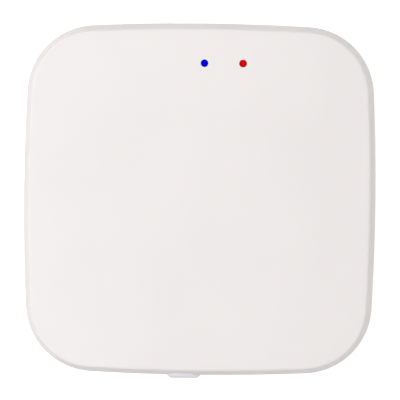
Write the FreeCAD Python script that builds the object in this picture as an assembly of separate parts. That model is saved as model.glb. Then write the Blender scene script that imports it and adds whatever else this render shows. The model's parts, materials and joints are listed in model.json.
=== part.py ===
"""Smart home hub: a 60 mm square, 15 mm high plastic case round one circuit board.

Millimetres, +Z up. The origin is on the table, under the middle of the case.
The reset button is on the -Y side and the power socket on the +Y side. Two
indicator lights shine through the top near the +Y side.

The case is a deep tray and a shallow lid that snap together over a lip. The
circuit board stands on four bosses in the tray and carries the power socket,
the button's switch, two radio modules and the power supply.
"""

import FreeCAD, Part
import math
import os

Vector = FreeCAD.Vector
UP = Vector(0, 0, 1)
INWARD = Vector(0, 1, 0)

# ---- case: driving dimensions ---------------------------------------------------
HALF_WIDTH = 30.0          # middle of a side, at the widest level
SIDE_RADIUS = 365.0        # each side is one long shallow arc
CORNER_RADIUS = 11.7
TOP_Z = 15.0
PARTING_Z = 9.6            # the widest level, where lid and tray meet
CASE_BOTTOM_Z = 0.5        # the feet hold the case this far off the table
LID_TAPER = 1.12           # how far the lid's walls lean in from bottom to top
TRAY_TAPER = 1.3           # how far the tray's walls lean in from top to bottom
WALL = 1.7
PARTING_GAP = 0.2          # shadow line between lid and tray
ROOF = 1.5
FLOOR = 1.5
LID_EDGE_RADIUS = 0.45
TRAY_EDGE_RADIUS = 2.4
PARTING_EDGE_RADIUS = 0.12

LID_BOTTOM_Z = PARTING_Z + PARTING_GAP / 2
TRAY_TOP_Z = PARTING_Z - PARTING_GAP / 2
ROOF_Z = TOP_Z - ROOF
FLOOR_Z = CASE_BOTTOM_Z + FLOOR

LIP_OUTER = -1.0           # offsets from the outline at the widest level
LIP_TOP_Z = PARTING_Z + 1.15
REBATE = -0.85

# ---- circuit board --------------------------------------------------------------
BOARD_INSET = -2.9
BOARD_BOTTOM_Z = 4.8
BOARD_TOP_Z = 6.0
SCREW_AT = 22.2            # the four screws are at (+-SCREW_AT, +-SCREW_AT)
SCREW_CORE_RADIUS = 0.8
BOARD_HOLE_RADIUS = 1.15

# ---- feet, label, vents ---------------------------------------------------------
FOOT_AT = 18.0
FOOT_RADIUS = 3.5
FOOT_HEIGHT = 1.4
LABEL_SIZE = (36.0, 23.0)
LABEL_CORNER = 2.0
LABEL_THICKNESS = 0.12
LABEL_TOP_Z = CASE_BOTTOM_Z + 0.15
VENT_ROWS = (-19.0, 19.0)
VENT_PITCH = 3.0
VENTS_PER_ROW = 7
VENT_SIZE = (1.2, 6.0)

# ---- reset button and its switch ------------------------------------------------
BUTTON_X = -2.4
BUTTON_Z = PARTING_Z + 0.7
BUTTON_WIDTH = 5.6
BUTTON_HEIGHT = 4.0
BUTTON_CORNER = 1.8
BUTTON_FRONT_Y = -30.43
BUTTON_SHOULDER_Y = -30.04  # where its front starts to slope in
BUTTON_SLOPE = (0.5, 1.45)  # how far the front slopes in at each end, and above and below
BUTTON_EDGE_RADIUS = 0.12
BUTTON_CLEARANCE = 0.07
BUTTON_FLANGE = (8.4, 4.6)  # width and height
FLANGE_THICKNESS = 0.9
FLANGE_PLAY = 0.3          # room for the flange at each end, and above and below
BUTTON_SEAT_Y = -28.3      # flat inside the wall that the button's flange meets
SWITCH_FACE_Y = -24.6
PLUNGER_TIP_Y = -26.4

# ---- power socket ---------------------------------------------------------------
SOCKET_X = -9.0
SOCKET_MOUTH_Y = 29.1
SOCKET_BACK_Y = 23.7
SOCKET_WIDTH = 7.5
SOCKET_HEIGHT = 2.55
PORT_WIDTH = 8.6
PORT_BOTTOM_Z = 5.6
PORT_TOP_Z = 9.0

# ---- indicator lights -----------------------------------------------------------
LIGHT_Y = 23.1
BLUE_X = 0.7
RED_X = 7.2
LIGHT_HOLE_RADIUS = 0.65
PIPE_TIP_RADIUS = 0.62
PIPE_RADIUS = 1.2
LED_TOP_Z = BOARD_TOP_Z + 0.8

# ---- radio modules --------------------------------------------------------------
MODULE_Y = -7.5
MODULE_LENGTH = 24.0
MODULE_WIDTH = 16.0
MODULE_THICKNESS = 0.8
MODULE_START = 2.0         # distance from the middle of the hub to each module
MODULE_TOP_Z = BOARD_TOP_Z + MODULE_THICKNESS
PAD_PITCH = 2.0
PADS_PER_SIDE = 8
PAD_RADIUS = 0.45
CAN_START = 0.9            # from the module's inner end
CAN_LENGTH = 16.0
CAN_WIDTH = 13.2
CAN_HEIGHT = 2.1
CAN_SHEET = 0.2


# ---- shared shapes --------------------------------------------------------------
def corner_centre():
    """Distance of each corner arc's centre from both middle planes."""
    side = HALF_WIDTH - SIDE_RADIUS
    reach = SIDE_RADIUS - CORNER_RADIUS
    return (side + math.sqrt(2 * reach**2 - side**2)) / 2


def outline(offset, z):
    """The case's outline at height z, moved outward by offset: eight tangent arcs."""
    centre = corner_centre()
    side = HALF_WIDTH - SIDE_RADIUS
    turn = math.atan2(centre, centre - side)
    edges = []
    for quarter in range(4):
        start = quarter * math.pi / 2
        cos, sin = math.cos(start), math.sin(start)
        side_centre = Vector(side * cos, side * sin, z)
        round_centre = Vector(centre * (cos - sin), centre * (sin + cos), z)
        side_circle = Part.Circle(side_centre, UP, SIDE_RADIUS + offset)
        round_circle = Part.Circle(round_centre, UP, CORNER_RADIUS + offset)
        edges.append(Part.ArcOfCircle(side_circle, start - turn, start + turn).toShape())
        corner_arc = Part.ArcOfCircle(round_circle, start + turn, start + math.pi / 2 - turn)
        edges.append(corner_arc.toShape())
    return Part.Wire(edges)


def side_at(along, offset):
    """Distance from the middle of the hub to a side wall, a given way along it."""
    return HALF_WIDTH - SIDE_RADIUS + math.sqrt((SIDE_RADIUS + offset) ** 2 - along**2)


def slab(offset, low, high):
    """The outline as a straight-sided block between two heights."""
    return Part.Face(outline(offset, low)).extrude(UP * (high - low))


def tapered(low_offset, low, high_offset, high):
    """A block whose walls lean from one offset to another."""
    return Part.makeLoft([outline(low_offset, low), outline(high_offset, high)], True, True)


def block(x, y, z):
    """A box between (low, high) pairs along each axis."""
    size = (x[1] - x[0], y[1] - y[0], z[1] - z[0])
    return Part.makeBox(*size, Vector(x[0], y[0], z[0]))


def centred_block(x, y, width, depth, low, high):
    """A box centred on (x, y) between two heights."""
    return block((x - width / 2, x + width / 2), (y - depth / 2, y + depth / 2), (low, high))


def post(x, y, radius, low, high):
    """An upright cylinder."""
    return Part.makeCylinder(radius, high - low, Vector(x, y, low), UP)


def posts_at(places, radius, low, high):
    """An upright cylinder at each (x, y)."""
    return [post(x, y, radius, low, high) for x, y in places]


def bar(x, z, radius, near, far):
    """A cylinder along Y, from near to far."""
    return Part.makeCylinder(radius, far - near, Vector(x, near, z), INWARD)


def fuse_all(shapes):
    """One solid from touching or overlapping shapes."""
    first, *rest = shapes
    return first.fuse(rest).removeSplitter() if rest else first


def edges_at(shape, z):
    """The edges that lie flat at height z."""
    flat = 1e-4
    return [
        edge
        for edge in shape.Edges
        if abs(edge.BoundBox.ZMin - z) < flat and abs(edge.BoundBox.ZMax - z) < flat
    ]


def upright_edges(shape):
    """The straight edges that run along Z."""
    return [
        edge
        for edge in shape.Edges
        if len(edge.Vertexes) == 2
        and abs(edge.Vertexes[0].X - edge.Vertexes[1].X) < 1e-6
        and abs(edge.Vertexes[0].Y - edge.Vertexes[1].Y) < 1e-6
    ]


def rounded_plate(width, depth, corner, low, high):
    """A plate centred on the origin with round corners."""
    plate = centred_block(0, 0, width, depth, low, high)
    return plate.makeFillet(corner, upright_edges(plate))


def four_corners(distance):
    """The four points at (+-distance, +-distance)."""
    return [(x, y) for x in (-distance, distance) for y in (-distance, distance)]


def turned(shape, quarter):
    """A copy of shape turned about Z by quarters of a turn."""
    copy = shape.copy()
    copy.rotate(Vector(0, 0, 0), UP, 90 * quarter)
    return copy


def group(shapes):
    """Several separate solids in one node."""
    return Part.makeCompound(shapes)


# ---- openings that both halves of the case share --------------------------------
def button_section(grow, y):
    """The upright outline of the button's cap at y, larger by grow = (x, z) on every side."""
    half_width = BUTTON_WIDTH / 2 + grow[0]
    half_height = BUTTON_HEIGHT / 2 + grow[1]
    corner = min(BUTTON_CORNER + grow[0], 0.9 * half_height)
    arcs = []
    for number, (right, up) in enumerate(((1, 1), (1, -1), (-1, -1), (-1, 1))):
        centre = Vector(BUTTON_X + right * (half_width - corner), y, BUTTON_Z + up * (half_height - corner))
        ends = [centre + Vector(0, 0, up * corner), centre + Vector(right * corner, 0, 0)]
        if number % 2:
            ends.reverse()
        slant = corner * math.sqrt(0.5)
        arcs.append(Part.Arc(ends[0], centre + Vector(right * slant, 0, up * slant), ends[1]))
    edges = []
    for arc, following in zip(arcs, arcs[1:] + arcs[:1]):
        edges += [arc.toShape(), Part.makeLine(arc.EndPoint, following.StartPoint)]
    return Part.Wire(edges)


def button_opening():
    """The hole for the button's cap and the flat seat behind it for its flange."""
    near, far = -32, -26
    gap = (BUTTON_CLEARANCE, BUTTON_CLEARANCE)
    hole = Part.Face(button_section(gap, near)).extrude(INWARD * (far - near))
    half = BUTTON_WIDTH / 2 + BUTTON_CLEARANCE
    straight_sides = block((BUTTON_X - half, BUTTON_X + half), (near, far), (PARTING_Z, BUTTON_Z))
    half_width, half_height = (side / 2 + FLANGE_PLAY for side in BUTTON_FLANGE)
    seat = block(
        (BUTTON_X - half_width, BUTTON_X + half_width),
        (BUTTON_SEAT_Y, far - 0.5),
        (BUTTON_Z - half_height, BUTTON_Z + half_height),
    )
    return fuse_all([hole, straight_sides, seat])


def port_opening():
    """The notch in the tray's wall for the power socket's mouth."""
    high = LIP_TOP_Z + 1
    notch = centred_block(SOCKET_X, 29, PORT_WIDTH, 6, PORT_BOTTOM_Z, high)
    corners = [e for e in notch.Edges if abs(e.BoundBox.ZMax - PORT_BOTTOM_Z) < 1e-4]
    along_y = [e for e in corners if e.BoundBox.YLength > 1]
    return notch.makeFillet(0.6, along_y)


def tray_offset(z):
    """How far the tray's outer wall leans in at height z."""
    return -TRAY_TAPER * (TRAY_TOP_Z - z) / (TRAY_TOP_Z - CASE_BOTTOM_Z)


# ---- snap hooks -----------------------------------------------------------------
HOOKS = ((0, 13.0), (0, -13.0), (2, 13.0), (2, -13.0), (1, -13.0), (3, 13.0))
HOOK_WIDTH = 4.0
HOOK_FOOT_Z = 6.5
HOOK_TOP_OF_BARB_Z = 7.5
HOOK_FACE = -2.15          # offset of the arm's outer face
BARB = 0.5


def snap_hook(quarter, along):
    """A springy arm that hangs from the lid and ends in a barb."""
    face = side_at(along, HOOK_FACE)
    half = HOOK_WIDTH / 2
    arm = block((face - 1.0, face), (along - half, along + half), (HOOK_FOOT_Z, ROOF_Z + 0.2))
    ramp = [
        Vector(face, along - half, HOOK_FOOT_Z),
        Vector(face + BARB, along - half, HOOK_TOP_OF_BARB_Z - 0.25),
        Vector(face + BARB, along - half, HOOK_TOP_OF_BARB_Z),
        Vector(face, along - half, HOOK_TOP_OF_BARB_Z),
    ]
    wire = Part.makePolygon([*ramp, ramp[0]])
    barb = Part.Face(wire).extrude(Vector(0, HOOK_WIDTH, 0))
    return turned(arm.fuse(barb), quarter)


def snap_pocket(quarter, along):
    """The recess inside the tray's wall that a barb catches in."""
    face = side_at(along, HOOK_FACE)
    half = HOOK_WIDTH / 2 + 0.4
    pocket = block(
        (face - 0.2, face + BARB + 0.15),
        (along - half, along + half),
        (HOOK_FOOT_Z - 0.3, HOOK_TOP_OF_BARB_Z + 0.1),
    )
    return turned(pocket, quarter)


# ---- case parts -----------------------------------------------------------------
def port_tongue():
    """The piece of the lid's wall that reaches down into the tray's notch and closes it."""
    width = PORT_WIDTH - 0.1
    skirt_top = LID_BOTTOM_Z + PARTING_EDGE_RADIUS + 0.1
    skirt = tapered(tray_offset(PORT_TOP_Z), PORT_TOP_Z, 0, skirt_top)
    skirt = skirt.common(centred_block(SOCKET_X, 27, width, 8, PORT_TOP_Z, skirt_top))
    plug = slab(REBATE, PORT_TOP_Z, LIP_TOP_Z)
    plug = plug.common(centred_block(SOCKET_X, 27, width, 8, PORT_TOP_Z, LIP_TOP_Z))
    return skirt.fuse(plug).cut(slab(-WALL, PORT_TOP_Z, LIP_TOP_Z))


LID_CAVITY_TAPER = 1.0
RIB_THICKNESS = 0.8
RIB_DEPTH = 1.1
RIB_ROWS = (-17.0, 8.5)
TUBE_RADIUS = 2.3
TUBE_BOTTOM_Z = 8.7


def top_cover():
    """The lid: a shallow shell with hooks, ribs and two tubes for the light pipes."""
    shell = tapered(0, LID_BOTTOM_Z, -LID_TAPER, TOP_Z)
    shell = shell.makeFillet(LID_EDGE_RADIUS, edges_at(shell, TOP_Z))
    shell = shell.makeFillet(PARTING_EDGE_RADIUS, edges_at(shell, LID_BOTTOM_Z))
    cavity = tapered(-WALL, LID_BOTTOM_Z, -WALL - LID_CAVITY_TAPER, ROOF_Z)
    shell = shell.cut([cavity, slab(REBATE, LID_BOTTOM_Z, LIP_TOP_Z)])

    ribs = [
        block((-28, 28), (y - RIB_THICKNESS / 2, y + RIB_THICKNESS / 2), (ROOF_Z - RIB_DEPTH, ROOF_Z))
        for y in RIB_ROWS
    ]
    lights = [(x, LIGHT_Y) for x in (BLUE_X, RED_X)]
    tubes = posts_at(lights, TUBE_RADIUS, TUBE_BOTTOM_Z, ROOF_Z)
    inside = slab(-WALL - 0.5, TUBE_BOTTOM_Z, ROOF_Z + 0.1)
    inner_walls = [rib.common(inside) for rib in ribs] + tubes
    hooks = [snap_hook(quarter, along) for quarter, along in HOOKS]

    lid = fuse_all([shell, *inner_walls, *hooks, port_tongue()])
    bores = posts_at(lights, PIPE_RADIUS + 0.02, TUBE_BOTTOM_Z - 1, ROOF_Z)
    holes = posts_at(lights, LIGHT_HOLE_RADIUS, ROOF_Z - 1, TOP_Z + 1)
    return lid.cut([*bores, *holes, button_opening()])


TRAY_CAVITY_TAPER = 1.15
TRAY_CAVITY_RADIUS = 1.0
BOSS_RADIUS = 2.3
PILOT_BOTTOM_Z = 1.5
PROP_RADIUS = 1.5
PROPS = ((-24.0, 4.0), (24.0, 4.0), (0.0, -14.0), (0.0, 14.0), (SOCKET_X, 25.6))
GUIDE_WIDTH = 1.0


def button_guides():
    """Two upright ribs inside the tray that keep the button's flange in line."""
    ribs = []
    for side in (-1, 1):
        inner = BUTTON_X + side * (BUTTON_FLANGE[0] / 2 + FLANGE_PLAY)
        outer = inner + side * GUIDE_WIDTH
        ribs.append(block((min(inner, outer), max(inner, outer)), (-28.6, -27.3), (FLOOR_Z, TRAY_TOP_Z)))
    return ribs


def vents():
    """Two rows of round-ended slots through the floor."""
    width, length = VENT_SIZE
    slots = []
    for y in VENT_ROWS:
        for number in range(VENTS_PER_ROW):
            x = (number - (VENTS_PER_ROW - 1) / 2) * VENT_PITCH
            reach = (length - width) / 2
            middle = centred_block(x, y, width, 2 * reach, 0, FLOOR_Z + 0.5)
            ends = [post(x, y + side * reach, width / 2, 0, FLOOR_Z + 0.5) for side in (-1, 1)]
            slots.append(fuse_all([middle, *ends]))
    return slots


def bottom_case():
    """The tray: floor, walls, lip, board bosses and the recesses for feet and label."""
    shell = tapered(-TRAY_TAPER, CASE_BOTTOM_Z, 0, TRAY_TOP_Z)
    shell = shell.makeFillet(TRAY_EDGE_RADIUS, edges_at(shell, CASE_BOTTOM_Z))
    shell = shell.makeFillet(PARTING_EDGE_RADIUS, edges_at(shell, TRAY_TOP_Z))
    cavity = tapered(-WALL - TRAY_CAVITY_TAPER, FLOOR_Z, -WALL, TRAY_TOP_Z)
    cavity = cavity.makeFillet(TRAY_CAVITY_RADIUS, edges_at(cavity, FLOOR_Z))
    shell = shell.cut(cavity)

    lip = slab(LIP_OUTER, TRAY_TOP_Z - 0.5, LIP_TOP_Z).cut(slab(-WALL, TRAY_TOP_Z - 0.5, LIP_TOP_Z))
    bosses = posts_at(four_corners(SCREW_AT), BOSS_RADIUS, FLOOR_Z - 0.2, BOARD_BOTTOM_Z)
    props = posts_at(PROPS, PROP_RADIUS, FLOOR_Z - 0.2, BOARD_BOTTOM_Z)
    tray = fuse_all([shell, lip, *bosses, *props, *button_guides()])

    pilots = posts_at(four_corners(SCREW_AT), SCREW_CORE_RADIUS, PILOT_BOTTOM_Z, BOARD_BOTTOM_Z + 1)
    pockets = [snap_pocket(quarter, along) for quarter, along in HOOKS]
    feet = posts_at(four_corners(FOOT_AT), FOOT_RADIUS + 0.1, 0, FOOT_HEIGHT)
    seat_size = [side + 0.6 for side in LABEL_SIZE]
    label_seat = rounded_plate(*seat_size, LABEL_CORNER + 0.3, 0, LABEL_TOP_Z)
    cuts = [*pilots, *pockets, *feet, label_seat, *vents(), button_opening(), port_opening()]
    return tray.cut(cuts)


def reset_button():
    """A round-cornered cap with a flange inside the wall and a stem to the switch."""
    flange_front = BUTTON_SEAT_Y + 0.05
    flange_back = flange_front + FLANGE_THICKNESS
    sections = [
        button_section((0, 0), flange_front + 0.2),
        button_section((0, 0), BUTTON_SHOULDER_Y),
        button_section([-slope for slope in BUTTON_SLOPE], BUTTON_FRONT_Y),
    ]
    cap = Part.makeLoft(sections, True, True)
    for y in (BUTTON_SHOULDER_Y, BUTTON_FRONT_Y):
        rim = [e for e in cap.Edges if abs(e.BoundBox.YMax - y) + abs(e.BoundBox.YMin - y) < 1e-4]
        cap = cap.makeFillet(BUTTON_EDGE_RADIUS, rim)
    half_width, half_height = (side / 2 for side in BUTTON_FLANGE)
    flange = block(
        (BUTTON_X - half_width, BUTTON_X + half_width),
        (flange_front, flange_back),
        (BUTTON_Z - half_height, BUTTON_Z + half_height),
    )
    flange = flange.makeFillet(0.8, [e for e in flange.Edges if e.BoundBox.YLength > 0.5])
    stem = bar(BUTTON_X, BUTTON_Z, 1.3, flange_back - 0.1, PLUNGER_TIP_Y - 0.02)
    return fuse_all([cap, flange, stem])


def light_pipe(x):
    """A clear rod: narrow through the roof, wide below it, domed over its lamp."""
    dome_height = 0.25
    foot = LED_TOP_Z + 0.2
    tip = post(x, LIGHT_Y, PIPE_TIP_RADIUS, ROOF_Z - 0.3, TOP_Z)
    body = post(x, LIGHT_Y, PIPE_RADIUS, foot + dome_height, ROOF_Z)
    sphere_radius = (PIPE_RADIUS**2 + dome_height**2) / (2 * dome_height)
    ball = Part.makeSphere(sphere_radius, Vector(x, LIGHT_Y, foot + sphere_radius))
    dome = ball.common(post(x, LIGHT_Y, PIPE_RADIUS, foot - 0.1, foot + dome_height))
    return fuse_all([body, tip, dome])


def rubber_feet():
    """Four soft discs pressed into the pockets under the tray."""
    feet = []
    for x, y in four_corners(FOOT_AT):
        disc = post(x, y, FOOT_RADIUS, 0, FOOT_HEIGHT)
        feet.append(disc.makeFillet(0.3, edges_at(disc, 0)))
    return group(feet)


def rating_label():
    """A blank sticker in its recess under the tray."""
    return rounded_plate(*LABEL_SIZE, LABEL_CORNER, LABEL_TOP_Z - LABEL_THICKNESS, LABEL_TOP_Z)


SCREW_HEAD_RADIUS = 1.8
SCREW_HEAD_HEIGHT = 1.2
SCREW_LENGTH = 4.2
THREAD_RADIUS = 1.0
THREAD_PITCH = 0.6


def screw_profile():
    """Half section of a pan-head screw whose thread is a stack of ridges."""
    radius, height = SCREW_HEAD_RADIUS, SCREW_HEAD_HEIGHT
    depth = BOARD_TOP_Z - BOARD_BOTTOM_Z
    points = [(0, height), (radius * 0.62, height), (radius * 0.9, height * 0.72)]
    points += [(radius, height * 0.4), (radius, 0)]
    points += [(SCREW_CORE_RADIUS, 0), (SCREW_CORE_RADIUS, -depth)]
    ridges = int((SCREW_LENGTH - depth - 0.6) / THREAD_PITCH)
    for ridge in range(ridges):
        top = -depth - 0.1 - ridge * THREAD_PITCH
        points += [
            (SCREW_CORE_RADIUS, top),
            (THREAD_RADIUS, top - THREAD_PITCH * 0.4),
            (SCREW_CORE_RADIUS, top - THREAD_PITCH * 0.8),
        ]
    points += [(SCREW_CORE_RADIUS, -SCREW_LENGTH + 0.4), (0.3, -SCREW_LENGTH), (0, -SCREW_LENGTH)]
    return points


def board_screws():
    """Four self-tapping screws that hold the board to the tray's bosses."""
    screws = []
    for x, y in four_corners(SCREW_AT):
        corners = [Vector(x + r, y, BOARD_TOP_Z + z) for r, z in screw_profile()]
        half = Part.Face(Part.makePolygon([*corners, corners[0]]))
        screw = half.revolve(Vector(x, y, 0), UP, 360)
        slot_low = BOARD_TOP_Z + SCREW_HEAD_HEIGHT - 0.6
        slot_high = BOARD_TOP_Z + SCREW_HEAD_HEIGHT + 1
        slots = [
            centred_block(x, y, 1.9, 0.45, slot_low, slot_high),
            centred_block(x, y, 0.45, 1.9, slot_low, slot_high),
        ]
        screws.append(screw.cut(slots))
    return group(screws)


# ---- power socket ---------------------------------------------------------------
SOCKET_SHEET = 0.25
SOCKET_BOTTOM_Z = BOARD_TOP_Z
SOCKET_TOP_Z = SOCKET_BOTTOM_Z + SOCKET_HEIGHT
SOCKET_TAB_ROWS = (24.6, 26.3)
TONGUE_WIDTH = 3.7
TONGUE_LOW_Z = SOCKET_BOTTOM_Z + 1.35
CONTACT_PITCH = 0.65
CONTACTS = 5


def socket_section(inset, near, far):
    """The socket's section, wide at the top, run along Y."""
    half = SOCKET_WIDTH / 2 - inset
    low, high = SOCKET_BOTTOM_Z + inset, SOCKET_TOP_Z - inset
    slope_x, slope_z = 1.0, 0.9
    points = [
        (-half, high), (half, high), (half, low + slope_z),
        (half - slope_x, low), (-half + slope_x, low), (-half, low + slope_z),
    ]
    corners = [Vector(SOCKET_X + x, near, z) for x, z in points]
    section = Part.Face(Part.makePolygon([*corners, corners[0]]))
    return section.extrude(INWARD * (far - near))


def socket_tabs():
    """The shell's four legs, which pass through the board."""
    tabs = []
    for side in (-1, 1):
        x = SOCKET_X + side * (SOCKET_WIDTH / 2 - SOCKET_SHEET / 2)
        for y in SOCKET_TAB_ROWS:
            low, high = BOARD_BOTTOM_Z - 0.7, SOCKET_BOTTOM_Z + 1.2
            tabs.append(centred_block(x, y, SOCKET_SHEET, 1.0, low, high))
    return tabs


def usb_shell():
    """The socket's folded sheet-metal shell, with a flared mouth and two spring windows."""
    outer = socket_section(0, SOCKET_BACK_Y, SOCKET_MOUTH_Y)
    inner = socket_section(SOCKET_SHEET, SOCKET_BACK_Y + SOCKET_SHEET, SOCKET_MOUTH_Y + 1)
    flare = socket_section(-0.2, SOCKET_MOUTH_Y - 0.3, SOCKET_MOUTH_Y)
    slot_heights = (SOCKET_BOTTOM_Z - 0.1, SOCKET_BOTTOM_Z + 0.45)
    tail_slot = centred_block(SOCKET_X, SOCKET_BACK_Y, 4.0, 2.0, *slot_heights)
    windows = [
        centred_block(SOCKET_X + side * 1.9, 26.6, 0.7, 1.8, SOCKET_TOP_Z - 0.5, SOCKET_TOP_Z + 0.5)
        for side in (-1, 1)
    ]
    body = fuse_all([outer, flare, *socket_tabs()])
    return body.cut([inner, tail_slot, *windows])


def contact_x(number):
    """Place of one of the socket's contacts across its width."""
    return SOCKET_X + (number - (CONTACTS - 1) / 2) * CONTACT_PITCH


def usb_contacts():
    """Five gold springs under the socket's tongue, with tails soldered to the board."""
    contacts = []
    thick, wide = 0.12, 0.28
    low = SOCKET_BOTTOM_Z
    riser_y = 24.2
    for number in range(CONTACTS):
        x = contact_x(number)
        across = (x - wide / 2, x + wide / 2)
        blade = block(across, (riser_y, 28.2), (TONGUE_LOW_Z - thick, TONGUE_LOW_Z))
        riser = block(across, (riser_y, riser_y + thick), (low, TONGUE_LOW_Z))
        tail = block(across, (22.9, riser_y + thick), (low, low + thick))
        contacts.append(fuse_all([blade, riser, tail]))
    return group(contacts)


def usb_insulator():
    """The black plastic block in the back of the socket, and its tongue."""
    near, far = SOCKET_BACK_Y + SOCKET_SHEET, SOCKET_BACK_Y + 1.5
    plug = socket_section(SOCKET_SHEET, near, far)
    reach = TONGUE_WIDTH / 2
    along = (far - 0.1, 28.4)
    tongue = block((SOCKET_X - reach, SOCKET_X + reach), along, (TONGUE_LOW_Z, TONGUE_LOW_Z + 0.6))
    body = fuse_all([plug, tongue])
    return body.cut(usb_contacts())


# ---- reset switch ---------------------------------------------------------------
SWITCH_SIZE = 6.0
SWITCH_BACK_Y = -21.6
SWITCH_PLATE = 0.3
CAVITY_RADIUS = 2.5
CAVITY_BACK_Y = -22.7
SWITCH_LOW_Z = BUTTON_Z - SWITCH_SIZE / 2
SWITCH_HIGH_Z = BUTTON_Z + SWITCH_SIZE / 2
LEG_END_Z = BOARD_BOTTOM_Z - 0.8
LEG_Y = -23.0
LEG_WIDTH = 1.2
PIN_SPREAD = 1.6           # each pin's distance from the switch's middle
PIN_Y = CAVITY_BACK_Y + 0.35
PIN_WIDTH = 0.8
PIN_SHEET = 0.3


def switch_terminals():
    """Two flat pins from the contacts in the switch's cavity down through the board."""
    pins = []
    for side in (-1, 1):
        x = BUTTON_X + side * PIN_SPREAD
        pins.append(centred_block(x, PIN_Y, PIN_WIDTH, PIN_SHEET, LEG_END_Z, BUTTON_Z + 0.4))
    return group(pins)


def switch_legs():
    """The bracket's two side arms, each with a leg through the board."""
    legs = []
    for side in (-1, 1):
        x = BUTTON_X + side * (SWITCH_SIZE + SWITCH_PLATE) / 2
        across = (x - SWITCH_PLATE / 2, x + SWITCH_PLATE / 2)
        arm = block(across, (SWITCH_FACE_Y, -21.8), (BUTTON_Z - 2.2, BUTTON_Z + 2.2))
        leg = centred_block(x, LEG_Y, SWITCH_PLATE, LEG_WIDTH, LEG_END_Z, BUTTON_Z)
        legs.append(arm.fuse(leg))
    return legs


def switch_bracket():
    """The sheet-metal face that holds the switch together."""
    half = SWITCH_SIZE / 2
    plate = block(
        (BUTTON_X - half - SWITCH_PLATE, BUTTON_X + half + SWITCH_PLATE),
        (SWITCH_FACE_Y, SWITCH_FACE_Y + SWITCH_PLATE),
        (BUTTON_Z - half, BUTTON_Z + half),
    )
    hole = bar(BUTTON_X, BUTTON_Z, 1.85, SWITCH_FACE_Y - 1, SWITCH_FACE_Y + 1)
    return fuse_all([plate, *switch_legs()]).cut(hole)


def switch_housing():
    """The black block with a round cavity for the dome."""
    half = SWITCH_SIZE / 2
    body = block(
        (BUTTON_X - half, BUTTON_X + half),
        (SWITCH_FACE_Y + SWITCH_PLATE, SWITCH_BACK_Y),
        (SWITCH_LOW_Z, SWITCH_HIGH_Z),
    )
    cavity = bar(BUTTON_X, BUTTON_Z, CAVITY_RADIUS, SWITCH_FACE_Y - 1, CAVITY_BACK_Y)
    studs = [
        centred_block(BUTTON_X + side * 2.4, -22.4, 0.9, 0.9, BOARD_TOP_Z, SWITCH_LOW_Z + 0.1)
        for side in (-1, 1)
    ]
    return fuse_all([body, *studs]).cut([cavity, switch_terminals()])


def switch_plunger():
    """The round key that the button's stem presses."""
    flange_front = SWITCH_FACE_Y + SWITCH_PLATE + 0.05
    stem = bar(BUTTON_X, BUTTON_Z, 1.7, PLUNGER_TIP_Y, flange_front + 0.1)
    tip = [e for e in stem.Edges if abs(e.BoundBox.YMax - PLUNGER_TIP_Y) < 1e-4]
    stem = stem.makeFillet(0.25, tip)
    flange = bar(BUTTON_X, BUTTON_Z, 2.3, flange_front, flange_front + 0.45)
    nub = bar(BUTTON_X, BUTTON_Z, 0.6, flange_front + 0.4, DOME_APEX_Y - 0.02)
    return fuse_all([stem, flange, nub])


DOME_RADIUS = 2.3
DOME_HEIGHT = 0.6
DOME_SHEET = 0.07
DOME_APEX_Y = CAVITY_BACK_Y - 0.05 - DOME_HEIGHT


def switch_dome():
    """The snap disc: a thin shallow dome with its rim on the cavity's floor."""
    ball_radius = (DOME_RADIUS**2 + DOME_HEIGHT**2) / (2 * DOME_HEIGHT)
    centre = Vector(BUTTON_X, DOME_APEX_Y + ball_radius, BUTTON_Z)
    shell = Part.makeSphere(ball_radius, centre).cut(Part.makeSphere(ball_radius - DOME_SHEET, centre))
    return shell.common(bar(BUTTON_X, BUTTON_Z, DOME_RADIUS, DOME_APEX_Y - 0.1, CAVITY_BACK_Y - 0.02))


# ---- radio modules --------------------------------------------------------------
def module_x(direction, along):
    """X of a point on a module, measured from its inner end. direction is -1 or +1."""
    return direction * (MODULE_START + along)


def module_block(direction, along, across, low, high):
    """A box on a module, between (start, end) pairs along and across it."""
    ends = sorted(module_x(direction, value) for value in along)
    return block(ends, (MODULE_Y + across[0], MODULE_Y + across[1]), (low, high))


def module_pads(direction):
    """Centres of the half-round pads along a module's two long edges."""
    return [
        (module_x(direction, 1.5 + PAD_PITCH * number), MODULE_Y + side * MODULE_WIDTH / 2)
        for side in (-1, 1)
        for number in range(PADS_PER_SIDE)
    ]


def module_board(direction):
    """A radio module's own small circuit board."""
    half = MODULE_WIDTH / 2
    plate = module_block(direction, (0, MODULE_LENGTH), (-half, half), BOARD_TOP_Z, MODULE_TOP_Z)
    plate = plate.makeFillet(0.6, upright_edges(plate))
    notches = posts_at(module_pads(direction), PAD_RADIUS, BOARD_TOP_Z - 1, MODULE_TOP_Z + 1)
    return plate.cut(notches)


def module_solder(direction):
    """Solder that fills each half-round pad and spreads on to the main board."""
    joints = []
    for x, y in module_pads(direction):
        cone = Part.makeCone(0.8, 0.4, MODULE_THICKNESS, Vector(x, y, BOARD_TOP_Z), UP)
        joints.append(cone.cut(module_board(direction)))
    return group(joints)


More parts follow.
